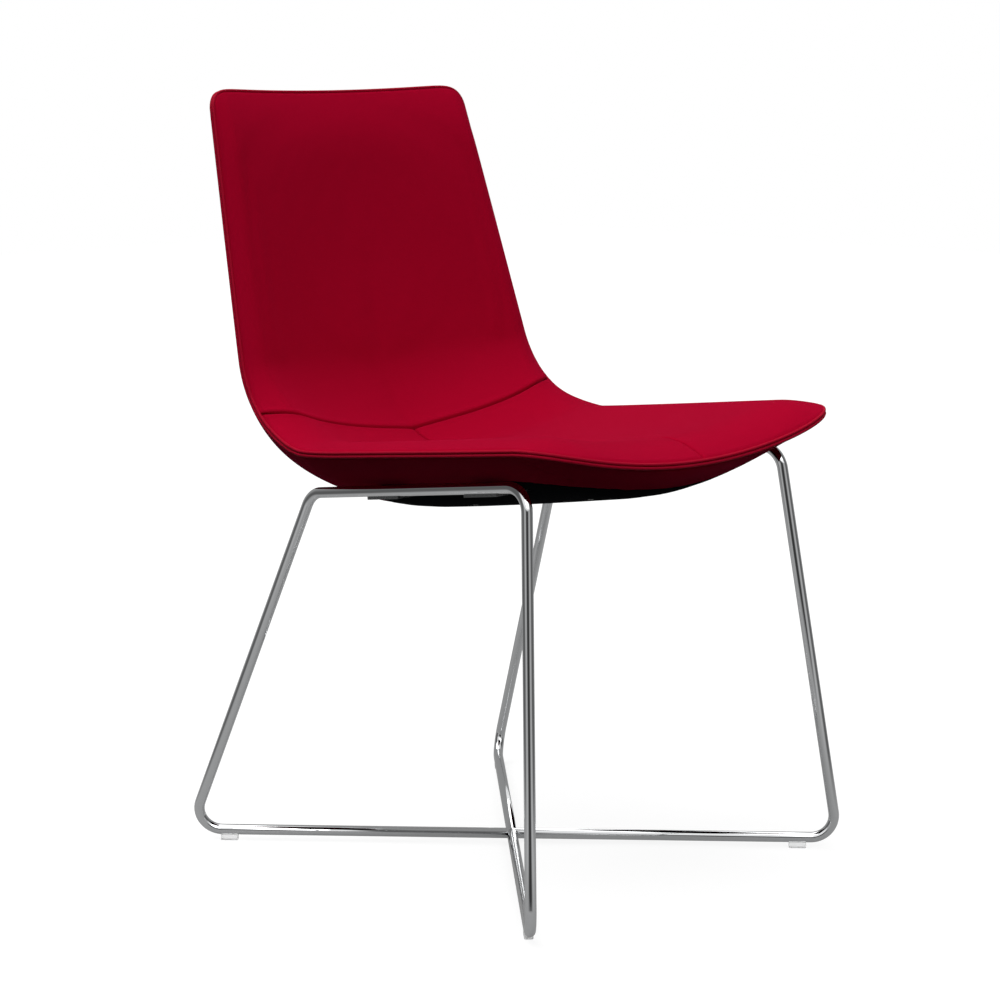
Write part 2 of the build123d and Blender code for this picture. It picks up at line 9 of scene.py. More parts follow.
import logging
import math
from dataclasses import dataclass, field
from enum import Enum
from functools import cached_property
from typing import Callable, Iterable

import bmesh
import bpy
from mathutils import Matrix, Vector


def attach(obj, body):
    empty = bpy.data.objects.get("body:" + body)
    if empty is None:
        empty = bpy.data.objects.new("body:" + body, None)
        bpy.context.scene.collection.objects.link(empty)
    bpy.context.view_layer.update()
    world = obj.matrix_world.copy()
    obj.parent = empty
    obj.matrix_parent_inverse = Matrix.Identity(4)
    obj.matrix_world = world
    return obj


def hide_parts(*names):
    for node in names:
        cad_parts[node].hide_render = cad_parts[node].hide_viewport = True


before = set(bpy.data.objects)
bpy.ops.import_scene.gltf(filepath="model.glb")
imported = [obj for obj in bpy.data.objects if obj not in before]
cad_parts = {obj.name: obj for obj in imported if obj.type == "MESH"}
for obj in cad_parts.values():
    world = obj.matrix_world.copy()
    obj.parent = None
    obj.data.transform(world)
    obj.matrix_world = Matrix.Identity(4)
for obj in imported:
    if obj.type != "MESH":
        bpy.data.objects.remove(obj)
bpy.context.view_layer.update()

MM = 0.001
BODY = "root"
HELD = "held"
WELD_DISTANCE = 1e-6
WEAVE_SHADE = 0.35
WEAVE_HEIGHT = 0.5
SLUB_SCALE = 420.0
SLUB_DETAIL = 3.0
GRAIN_DETAIL = 4.0

log = logging.getLogger("guest_chair")

Socket = bpy.types.NodeSocket
Groups = dict[str, bpy.types.NodeTree]
Knots = tuple[tuple[float, float], ...]
Spot = tuple[Vector, tuple[float, float]]
Place = Callable[[float, float, bool], Spot]
Hold = Callable[[float, float], float]


class Side(Enum):
    """The two mirrored halves of the chair, by the sign of x."""

    RIGHT = -1
    LEFT = 1


@dataclass(frozen=True)
class SmoothLine:
    """A value that runs smoothly through (station, value) knots.

    Attributes:
        knots: stations in rising order, each with its value.
    """

    knots: Knots

    @cached_property
    def slopes(self) -> list[float]:
        """Slope at each knot, zero where the line turns round."""
        pairs = list(zip(self.knots, self.knots[1:]))
        secants = [(b[1] - a[1]) / (b[0] - a[0]) for a, b in pairs]
        inner = [2 * p * q / (p + q) if p * q > 0 else 0.0
                 for p, q in zip(secants, secants[1:])]
        return [secants[0]] + inner + [secants[-1]]

    def at(self, s: float) -> float:
        """Value of the line.

        Args:
            s: station along the shell's edge.

        Returns:
            The value at that station.
        """
        i = 0
        while i < len(self.knots) - 2 and s > self.knots[i + 1][0]:
            i += 1
        (s0, a), (s1, b) = self.knots[i], self.knots[i + 1]
        span, t = s1 - s0, (s - s0) / (s1 - s0)
        bend = self.slopes[i] * t * (1 - t) ** 2 + self.slopes[i + 1] * t * t * (t - 1)
        return a * (1 + 2 * t) * (1 - t) ** 2 + b * t * t * (3 - 2 * t) + bend * span


def rise(distance: float, length: float) -> float:
    """Share of full height at a distance in from an edge, rounded over a length."""
    return 1 - (1 - min(max(distance / length, 0.0), 1.0)) ** 2


def gathered(t: float, closeness: float = 0.9) -> float:
    """Share from 0 to 1 whose even steps gather towards both ends."""
    return t - closeness * math.sin(2 * math.pi * t) / (2 * math.pi)


@dataclass(frozen=True)
class ShellForm:
    """Sizes and surfaces of the padded shell.

    Heights are measured from the sewn edge towards the sitter, in the plane
    across the chair at a station.
    """

    seat_edge_slope: float = 6.45
    back_recline: float = 15.6
    bend_radius: float = 114.0
    bend_corner_y: float = 145.4
    bend_corner_z: float = 424.73
    seat_front_y: float = -278.2
    back_top_z: float = 793.5
    seam_tilt: float = 33.0
    seam_drop: float = 2.6
    seam_sweep: float = 22.0
    seam_sweep_power: float = 6.0
    half_widths: tuple[float, ...] = (222.0, 227.0, 227.0, 214.0, 207.0, 179.5)
    widest_seat_share: float = 0.4
    front_corner_length: float = 40.0
    front_corner_fullness: float = 7.0
    top_corner_length: float = 23.0
    top_corner_fullness: float = 21.0
    hollows: tuple[float, ...] = (33.0, 42.0, 43.0, 34.0, 20.0)
    crowns: tuple[float, ...] = (24.5, 24.0, 25.0, 17.0, 15.5)
    side_rolls: tuple[float, ...] = (70.0, 70.0, 27.0, 21.0)
    front_roll: float = 60.0
    top_roll: float = 78.0
    bellies: tuple[float, ...] = (28.0, 33.0, 30.0, 13.0, 9.5)
    belly_rolls: tuple[float, ...] = (226.0, 226.0, 88.0, 26.0, 26.0)
    front_belly_length: float = 80.0
    top_belly_length: float = 22.0
    lip: float = 2.5
    seam_groove: float = 1.2
    seam_groove_length: float = 7.0
    seam_pinch: float = 8.0
    pinch_width: float = 50.0
    pinch_length: float = 60.0
    bend_lift: float = 3.5
    bend_lift_station: float = 368.0
    bend_lift_length: float = 40.0
    bend_lift_power: float = 8.0

    @cached_property
    def tangent(self) -> float:
        """Length of edge from the bend's corner to where its arc starts."""
        return self.bend_radius * math.tan(math.radians(self.turn / 2))

    @cached_property
    def turn(self) -> float:
        """Angle through which the edge bends, in degrees."""
        return 90 - self.back_recline + self.seat_edge_slope

    @cached_property
    def bend_start(self) -> tuple[float, float]:
        """Point (y, z) where the edge starts to bend upwards."""
        slope = math.radians(self.seat_edge_slope)
        return (self.bend_corner_y - self.tangent * math.cos(slope),
                self.bend_corner_z + self.tangent * math.sin(slope))

    @cached_property
    def bend_end(self) -> tuple[float, float]:
        """Point (y, z) where the straight edge of the back starts."""
        recline = math.radians(self.back_recline)
        return (self.bend_corner_y + self.tangent * math.sin(recline),
                self.bend_corner_z + self.tangent * math.cos(recline))

    @cached_property
    def s_bend(self) -> float:
        """Station where the seat's edge starts to bend."""
        slope = math.radians(self.seat_edge_slope)
        return (self.bend_start[0] - self.seat_front_y) / math.cos(slope)

    @cached_property
    def s_back(self) -> float:
        """Station where the back's edge is straight again."""
        return self.s_bend + self.bend_radius * math.radians(self.turn)

    @cached_property
    def s_top(self) -> float:
        """Station of the top of the back."""
        rest = self.back_top_z - self.bend_end[1]
        return self.s_back + rest / math.cos(math.radians(self.back_recline))

    @cached_property
    def s_seam(self) -> float:
        """Station of the seam between seat and back."""
        turned = math.radians(self.seam_tilt + self.seat_edge_slope)
        return self.s_bend + self.bend_radius * turned

    @cached_property
    def lines(self) -> dict[str, SmoothLine]:
        """Smooth lines along the shell.

        Returns:
            The half width before its corners are rounded, the hollow across
            the chair, the padding's crown, the hull's depth, and the lengths
            over which hull and padding roll in from the sewn edge.
        """
        widest = self.widest_seat_share * self.s_bend
        bend = (self.s_bend, self.s_seam, self.s_back, self.s_top)
        values = {"width": ((0.0, widest, *bend), self.half_widths),
                  "hollow": ((0.0, *bend), self.hollows),
                  "crown": ((0.0, *bend), self.crowns),
                  "belly": ((0.0, *bend), self.bellies),
                  "belly_roll": ((0.0, *bend), self.belly_rolls),
                  "side_roll": ((0.0, self.s_bend, self.s_back, self.s_top), self.side_rolls)}
        return {name: SmoothLine(tuple(zip(*knots))) for name, knots in values.items()}

    def outline(self, s: float) -> float:
        """Half width of the sewn edge at a station."""
        front = rise(s, self.front_corner_length) ** (1 / self.front_corner_fullness)
        top = rise(self.s_top - s, self.top_corner_length) ** (1 / self.top_corner_fullness)
        return self.lines["width"].at(s) * front * top

    def front_station(self, u: float) -> float:
        """Station of the front edge at a share u of the half width."""
        fall = 1 - math.sqrt(max(0.0, 1 - abs(u) ** self.front_corner_fullness))
        return self.front_corner_length * fall

    def top_station(self, u: float) -> float:
        """Station of the top edge at a share u of the half width."""
        fall = 1 - math.sqrt(max(0.0, 1 - abs(u) ** self.top_corner_fullness))
        return self.s_top - self.top_corner_length * fall

    def edge_distance(self, x: float, s: float) -> float:
        """Distance in from the nearest part of the sewn edge."""
        u = min(abs(x) / self.lines["width"].at(s), 1.0)
        return min(self.outline(s) - abs(x), s - self.front_station(u), self.top_station(u) - s)

    def seam_station(self, u: float) -> float:
        """Station of the seat's seam with the back, which sweeps up at the sides."""
        return self.s_seam - self.seam_drop + self.seam_sweep * abs(u) ** self.seam_sweep_power

    def seam_distance(self, x: float, s: float) -> float:
        """Distance along the chair to the seam between seat and back."""
        return abs(s - self.seam_station(min(abs(x) / self.lines["width"].at(s), 1.0)))

    def middle(self, x: float, s: float) -> float:
        """Height of the shell's middle surface, whose edge lifts a little at the bend."""
        u = abs(x) / self.lines["width"].at(s)
        near = math.exp(-((s - self.bend_lift_station) / self.bend_lift_length) ** 2)
        lift = self.bend_lift * (near * u ** self.bend_lift_power)
        return lift - self.lines["hollow"].at(s) * (1 - u ** 2)

    def cushion(self, x: float, s: float) -> float:
        """Height of the padded face that the sitter touches."""
        edge = self.outline(s) - abs(x)
        crown = self.lines["crown"].at(s) * rise(edge, self.lines["side_roll"].at(s))
        crown *= rise(s, self.front_roll) * rise(self.s_top - s, self.top_roll)
        off = self.seam_distance(x, s)
        near = math.exp(-abs(x) / self.pinch_width - (off / self.pinch_length) ** 2)
        groove = self.seam_groove * (1 - rise(off, self.seam_groove_length))
        groove *= rise(edge, self.seam_groove_length)
        return self.middle(x, s) + self.lip + crown - self.seam_pinch * near - groove

    def hull(self, x: float, s: float) -> float:
        """Height of the outside of the shell, below the seat and behind the back."""
        edge = self.outline(s) - abs(x)
        belly = self.lines["belly"].at(s) * rise(edge, self.lines["belly_roll"].at(s))
        belly *= rise(s, self.front_belly_length) * rise(self.s_top - s, self.top_belly_length)
        return self.middle(x, s) - self.lip - belly

    def point(self, x: float, s: float, height: float) -> Vector:
        """Point of the shell in the chair's frame.

        Args:
            x: distance from the chair's middle.
            s: station along the edge.
            height: height over the edge, towards the sitter.

        Returns:
            The point in metres.
        """
        slope = math.radians(self.seat_edge_slope)
        if self.s_bend < s < self.s_back:
            tilt = (s - self.s_bend) / self.bend_radius - slope
            y = self.bend_start[0] + self.bend_radius * (math.sin(slope) + math.sin(tilt))
            z = self.bend_start[1] + self.bend_radius * (math.cos(slope) - math.cos(tilt))
        else:
            tilt, along, (y, z) = -slope, s - self.s_bend, self.bend_start
            if s >= self.s_back:
                tilt = math.radians(90 - self.back_recline)
                along, (y, z) = s - self.s_back, self.bend_end
            y, z = y + along * math.cos(tilt), z + along * math.sin(tilt)
        return Vector((x, y - height * math.sin(tilt), z + height * math.cos(tilt))) * MM


@dataclass(frozen=True)
class PanForm:
    """Outline of the pan under the seat, in the shell's stations."""

    half_width: float = 162.0
    front: float = 40.0
    rear: float = 350.0
    corner_length: float = 70.0
    corner_fullness: float = 4.0

    def inside(self, x: float, s: float) -> float:
        """Distance in from the pan's outline, negative outside it."""
        if not self.front < s < self.rear:
            return min(self.rear - s, s - self.front)
        ends = rise(s - self.front, self.corner_length)
        ends *= rise(self.rear - s, self.corner_length)
        return self.half_width * ends ** (1 / self.corner_fullness) - abs(x)


class Nodes:
    """A small helper that adds and joins the nodes of one node tree."""

    def __init__(self, tree: bpy.types.NodeTree) -> None:
        """Keeps the tree that nodes are added to."""
        self.tree = tree

    def add(self, kind: str, inputs: dict[str, object] | None = None,
            **settings: object) -> bpy.types.Node:
        """Adds a node.

        Args:
            kind: the node's type name.
            inputs: sockets or constants for its inputs.
            settings: attributes to set on it first.

        Returns:
            The new node.
        """
        node = self.tree.nodes.new(kind)
        for name, value in settings.items():
            setattr(node, name, value)
        for name, value in (inputs or {}).items():
            self.feed(value, node.inputs[name])
        return node

    def join(self, source: Socket, target: Socket) -> None:
        """Links an output to an input."""
        self.tree.links.new(source, target)

    def feed(self, value: object, target: Socket) -> None:
        """Links a socket to an input, or sets a constant on it."""
        if isinstance(value, Socket):
            self.join(value, target)
        else:
            target.default_value = value

    def math(self, operation: str, a: Socket | float, b: Socket | float = 0.0,
             clamp: bool = False) -> Socket:
        """Math node on sockets or numbers.

        Args:
            operation: the node's operation.
            a: first socket or number.
            b: second socket or number.
            clamp: whether the result is kept from 0 to 1.

        Returns:
            The node's output.
        """
        node = self.add("ShaderNodeMath", operation=operation, use_clamp=clamp)
        for socket, value in zip(node.inputs, (a, b)):
            self.feed(value, socket)
        return node.outputs[0]

    def mix(self, share: Socket, low: Socket | float, high: Socket | float) -> Socket:
        """Value that goes from low to high as the share goes from 0 to 1."""
        inputs = {"Factor": share, "A": low, "B": high}
        return self.add("ShaderNodeMix", inputs, data_type="FLOAT").outputs["Result"]

    def between(self, share: Socket, low: float, high: float, start: float = 0.0,
                end: float = 1.0) -> Socket:
        """Value from low to high as the share goes from start to end, and kept there."""
        inputs = {"Value": share, "From Min": start, "From Max": end, "To Min": low, "To Max": high}
        return self.add("ShaderNodeMapRange", inputs).outputs["Result"]

    def blend(self, share: Socket, low: tuple, high: tuple) -> Socket:
        """Colour from low to high as the share goes from 0 to 1."""
        inputs = {"Factor": share, "A": (*low, 1), "B": (*high, 1)}
        return self.add("ShaderNodeMix", inputs, data_type="RGBA").outputs["Result"]

    def ramp(self, place: Socket, greys: Knots) -> Socket:
        """Grey that runs through (place, grey) knots."""
        node = self.add("ShaderNodeValToRGB", {"Fac": place})
        while len(node.color_ramp.elements) < len(greys):
            node.color_ramp.elements.new(0.5)
        for knot, (where, grey) in zip(node.color_ramp.elements, greys):
            knot.position, knot.color = where, (grey, grey, grey, 1)
        return node.outputs["Color"]

    def axes(self, coordinates: str) -> tuple[Socket, ...]:
        """The x, y and z of a kind of texture coordinates."""
        where = self.add("ShaderNodeTexCoord").outputs[coordinates]
        return tuple(self.add("ShaderNodeSeparateXYZ", {"Vector": where}).outputs)

    def rays(self) -> tuple[Socket, Socket]:
        """Masks of the rays that the camera sees and of those that metal mirrors."""
        path = self.add("ShaderNodeLightPath").outputs
        seen = self.math("MAXIMUM", path["Is Camera Ray"], path["Is Transmission Ray"])
        return seen, path["Is Glossy Ray"]

    def shared(self, group: bpy.types.NodeTree, coordinates: str, **values: float) -> dict:
        """Adds a shared node group.

        Args:
            group: the group.
            coordinates: the texture coordinates that it works on.
            values: numbers for its inputs.

        Returns:
            The outputs of the new node by name.
        """
        values["Vector"] = self.add("ShaderNodeTexCoord").outputs[coordinates]
        return dict(self.add("ShaderNodeGroup", values, node_tree=group).outputs.items())


def new_group(name: str, inputs: dict[str, float], outputs: Iterable[str]) -> tuple:
    """Starts a shader node group with a vector input and named floats.

    Args:
        name: the group's name.
        inputs: float inputs with their default values.
        outputs: names of the float outputs.

    Returns:
        The group, its helper, its input node and its output node.
    """
    group = bpy.data.node_groups.new(name, "ShaderNodeTree")
    group.interface.new_socket("Vector", in_out="INPUT", socket_type="NodeSocketVector")
    for label, value in inputs.items():
        socket = group.interface.new_socket(label, in_out="INPUT", socket_type="NodeSocketFloat")
        socket.default_value = value
    for label in outputs:
        group.interface.new_socket(label, in_out="OUTPUT", socket_type="NodeSocketFloat")
    nodes = Nodes(group)
    return group, nodes, nodes.add("NodeGroupInput"), nodes.add("NodeGroupOutput")


def weave_group() -> bpy.types.NodeTree:
    """Plain weave over a panel's own UV map, in metres: thread shade and height."""
    group, n, ins, outs = new_group("plain_weave", {"Pitch": 0.0011, "Slub": 0.35},
                                    ("Shade", "Height"))
    where = ins.outputs["Vector"]
    parts = n.add("ShaderNodeSeparateXYZ", {"Vector": where})
    turns = n.math("DIVIDE", 2 * math.pi, ins.outputs["Pitch"])
    warp, weft = (n.math("SINE", n.math("MULTIPLY", parts.outputs[axis], turns)) for axis in "XY")
    crossing = n.math("MULTIPLY", warp, weft)
    slub = n.add("ShaderNodeTexNoise",
                 {"Vector": where, "Scale": SLUB_SCALE, "Detail": SLUB_DETAIL})
    off = n.math("SUBTRACT", slub.outputs["Fac"], 0.5)
    loose = n.math("MULTIPLY", off, ins.outputs["Slub"])
    woven = n.math("ADD", n.math("MULTIPLY", crossing, WEAVE_SHADE), 0.5)
    raised = n.math("MULTIPLY", crossing, WEAVE_HEIGHT)
    n.join(n.math("ADD", woven, loose, clamp=True), outs.inputs["Shade"])
    n.join(n.math("ADD", raised, loose), outs.inputs["Height"])
    return group


def grain_group() -> bpy.types.NodeTree:
    """Fine uneven grain in object space, as a value from 0 to 1 round 0.5."""
    group, n, ins, outs = new_group("surface_grain", {"Scale": 600.0, "Contrast": 1.0}, ("Grain",))
    where, scale = ins.outputs["Vector"], ins.outputs["Scale"]
    noise = n.add("ShaderNodeTexNoise", {"Vector": where, "Scale": scale, "Detail": GRAIN_DETAIL})
    off = n.math("SUBTRACT", noise.outputs["Fac"], 0.5)
    off = n.math("MULTIPLY", off, ins.outputs["Contrast"])
    n.join(n.math("ADD", off, 0.5, clamp=True), outs.inputs["Grain"])
    return group


@dataclass(frozen=True)
class Finish:
    """Base of the chair's finishes: a Principled surface with grain.

    Attributes:
        name: the material's name.
        dark: base colour where the grain is low.
        light: base colour where the grain is high.
        rough: roughness from smoothest to roughest.
        grain: scale of the grain in object space.
        bump: height of the grain in metres.
        sockets: constants set on the shader's own sockets.
    """

    name: str
    dark: tuple[float, float, float]
    light: tuple[float, float, float]
    rough: tuple[float, float]
    grain: float = 600.0
    bump: float = 0.0
    sockets: dict[str, object] = field(default_factory=dict)

    def pattern(self, n: Nodes, groups: Groups) -> tuple[Socket, Socket, Socket]:
        """Pattern of the finish: an even grain here.

        Args:
            n: the helper for the material's nodes.
            groups: the shared node groups by name.

        Returns:
            The shares, from 0 to 1, for colour, roughness and height.
        """
        grain = n.shared(groups["grain"], "Object", Scale=self.grain)["Grain"]
        return grain, grain, grain

    def material(self, groups: Groups) -> bpy.types.Material:
        """Builds the finish from its pattern.

        Args:
            groups: the shared node groups by name.

        Returns:
            The material.
        """
        material = bpy.data.materials.new(self.name)
        material.use_nodes = True
        n = Nodes(material.node_tree)
        shader = material.node_tree.nodes["Principled BSDF"]
        for socket, value in self.sockets.items():
            shader.inputs[socket].default_value = value
        shade, wear, height = self.pattern(n, groups)
        n.join(n.blend(shade, self.dark, self.light), shader.inputs["Base Color"])
        n.join(n.between(wear, *self.rough), shader.inputs["Roughness"])
        if self.bump:
            bump = n.add("ShaderNodeBump", {"Distance": self.bump, "Height": height})
            n.join(bump.outputs["Normal"], shader.inputs["Normal"])
        return material


@dataclass(frozen=True)
class ClothFinish(Finish):
    """Upholstery cloth: a fine plain weave on the panel's own UV map, a little mottled.

    Attributes:
        pitch: distance between threads in metres.
        mottle: scale of the mottling in object space.
        mottle_contrast: contrast of the mottling.
        mottle_share: its share in the colour, beside the weave's.
    """

    pitch: float = 0.0011
    mottle: float = 9.0
    mottle_contrast: float = 0.5
    mottle_share: float = 0.3

    def pattern(self, n: Nodes, groups: Groups) -> tuple[Socket, Socket, Socket]:
        """Pattern of the cloth, as for the base finish."""
        weave = n.shared(groups["weave"], "UV", Pitch=self.pitch)
        cast = n.shared(groups["grain"], "Object", Scale=self.mottle,
                        Contrast=self.mottle_contrast)
        shade = n.math("ADD", n.math("MULTIPLY", weave["Shade"], 1 - self.mottle_share),
                       n.math("MULTIPLY", cast["Grain"], self.mottle_share))
        return shade, weave["Shade"], weave["Height"]


@dataclass(frozen=True)
class PlyFinish(Finish):
    """Plywood: veneer figure along the chair.

    Attributes:
        figure: scale of the veneer's figure in object space.
        waver: how far the figure strays from straight bands.
        detail: detail of its straying.
    """

    figure: float = 60.0
    waver: float = 6.0
    detail: float = 3.0

    def pattern(self, n: Nodes, groups: Groups) -> tuple[Socket, Socket, Socket]:
        """Pattern of the veneer, as for the base finish."""
        where = n.add("ShaderNodeTexCoord").outputs["Object"]
        rings = n.add("ShaderNodeTexWave", {"Vector": where, "Scale": self.figure,
                                            "Distortion": self.waver, "Detail": self.detail},
                      bands_direction="X")
        return (rings.outputs["Fac"],) * 3


CLOTH = ClothFinish("crimson_cloth", (0.32, 0.0007, 0.014), (0.52, 0.002, 0.031), (0.7, 0.9),
                    bump=0.00015, pitch=0.0014,
                    sockets={"Specular IOR Level": 0.01, "Sheen Weight": 0.5,
                             "Sheen Roughness": 0.35, "Sheen Tint": (0.9, 0.03, 0.14, 1.0)})
WELT = ClothFinish("crimson_cloth_edge", (0.36, 0.001, 0.016), (0.52, 0.003, 0.034), (0.5, 0.65),
                   bump=0.00008, sockets={"Specular IOR Level": 0.06})
CHROME = Finish("polished_chrome", (0.74, 0.75, 0.76), (0.82, 0.83, 0.84), (0.03, 0.07),
                grain=900.0, sockets={"Metallic": 1.0})
PAN_BLACK = Finish("black_moulding", (0.006, 0.0062, 0.0075), (0.012, 0.0124, 0.0145), (0.85, 1.0),
                   grain=1400.0, bump=0.00006, sockets={"Specular IOR Level": 0.003})
ZINC = Finish("zinc_plate", (0.42, 0.42, 0.41), (0.56, 0.56, 0.54), (0.25, 0.42),
              grain=1500.0, sockets={"Metallic": 1.0})
# The chrome darkened by painted shade, for the mount tabs that sit in the shade under the seat; it
# is also rougher.
SHADED_CHROME = Finish("chrome_painted_shade", (0.3, 0.305, 0.31), (0.38, 0.385, 0.39), (0.2, 0.34),
                     grain=1100.0, sockets={"Metallic": 1.0})
CLEAR = Finish("clear_glide", (0.9, 0.91, 0.91), (0.96, 0.96, 0.96), (0.3, 0.45),
               grain=700.0, sockets={"Transmission Weight": 0.9, "IOR": 1.49})
PLY = PlyFinish("beech_plywood", (0.42, 0.25, 0.12), (0.6, 0.41, 0.22), (0.5, 0.7), bump=0.0001)


def piece_from(bm: bmesh.types.BMesh, name: str, material: bpy.types.Material) -> bpy.types.Object:
    """Turns a bmesh into a smooth piece of the chair.

    Args:
        bm: the finished bmesh, which is freed.
        name: the piece's name.
        material: its material.

    Returns:
        The new object, riding on the chair.
    """
    for face in bm.faces:
        face.smooth = True
    mesh = bpy.data.meshes.new(name)
    bm.to_mesh(mesh)
    bm.free()
    mesh.materials.append(material)
    piece = bpy.data.objects.new(name, mesh)
    bpy.context.scene.collection.objects.link(piece)
    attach(piece, BODY)
    log.info("%s: %d faces", name, len(mesh.polygons))
    return piece


def refine(piece: bpy.types.Object) -> None:
    """Rounds a piece with one level of subdivision."""
    modifier = piece.modifiers.new("rounding", "SUBSURF")
    modifier.levels = modifier.render_levels = 1


@dataclass(frozen=True)
class Settling:
    """A short cloth simulation in which the foam presses a cover out between its seams.

    Attributes:
        pressure: pressure of the foam.
        frames: length of the simulation.
        most: the furthest that a point may move, in millimetres.
        quality: steps of the solver in a frame.
    """

    pressure: float = 0.6
    frames: int = 12
    most: float = 2.0
    quality: int = 5

    def run(self, piece: bpy.types.Object) -> None:
        """Simulates a pad's cover and keeps the result in its mesh.

        Args:
            piece: the pad, whose underside and seams are held.
        """
        piece.vertex_groups.new(name=HELD)
        modifier = piece.modifiers.new("settling", "CLOTH")
        modifier.settings.vertex_group_mass = HELD
        modifier.settings.quality = self.quality
        modifier.settings.use_pressure = True
        modifier.settings.uniform_pressure_force = self.pressure
        modifier.settings.effector_weights.gravity = 0.0
        modifier.collision_settings.use_collision = False
        modifier.point_cache.frame_start = 1
        modifier.point_cache.frame_end = self.frames
        for number in range(1, self.frames + 1):
            bpy.context.scene.frame_set(number)
        pressed = piece.evaluated_get(bpy.context.evaluated_depsgraph_get()).data
        pairs = zip(piece.data.vertices, pressed.vertices)
        steps = [after.co - before.co for before, after in pairs]
        furthest = max(step.length for step in steps) / MM
        piece.modifiers.remove(modifier)
        piece.vertex_groups.clear()
        for vert, step in zip(piece.data.vertices, steps):
            vert.co += step * min(1.0, self.most / furthest)
        log.info("%s: the cover pressed out by %.2f mm, kept to %.1f mm",
                 piece.name, furthest, self.most)
        bpy.context.scene.frame_set(1)


def blank(grid: tuple[int, int], place: Place,
          hold: Hold = lambda x, s: 1.0) -> bmesh.types.BMesh:
    """Closed padded form: a slab of quads, shaped by a formula.

    Args:
        grid: quads across and along the piece.
        place: gives the point and the UV of a share across and a share along,
            on the outside or the underside.
        hold: share by which the outside is held down at a place across and
            along the shell.

    Returns:
        The shaped bmesh with a UV map in metres.
    """
    bm = bmesh.new()
    bmesh.ops.create_grid(bm, x_segments=grid[0], y_segments=grid[1], size=0.5)
    over = bmesh.ops.extrude_face_region(bm, geom=bm.faces[:], use_keep_orig=True)
    raised = [v for v in over["geom"] if isinstance(v, bmesh.types.BMVert)]
    bmesh.ops.translate(bm, verts=raised, vec=(0, 0, 1))
    uv = bm.loops.layers.uv.new("cloth")
    flat: dict[bmesh.types.BMVert, tuple[float, float]] = {}
    held = bm.verts.layers.deform.new()
    for vert in bm.verts:
        outside = vert.co.z > 0.5
        vert.co, flat[vert] = place(vert.co.x + 0.5, vert.co.y + 0.5, outside)
        vert[held][0] = hold(*(value / MM for value in flat[vert])) if outside else 1.0
    for face in bm.faces:
        for loop in face.loops:
            loop[uv].uv = flat[loop.vert]
    bmesh.ops.recalc_face_normals(bm, faces=bm.faces[:])
    return bm


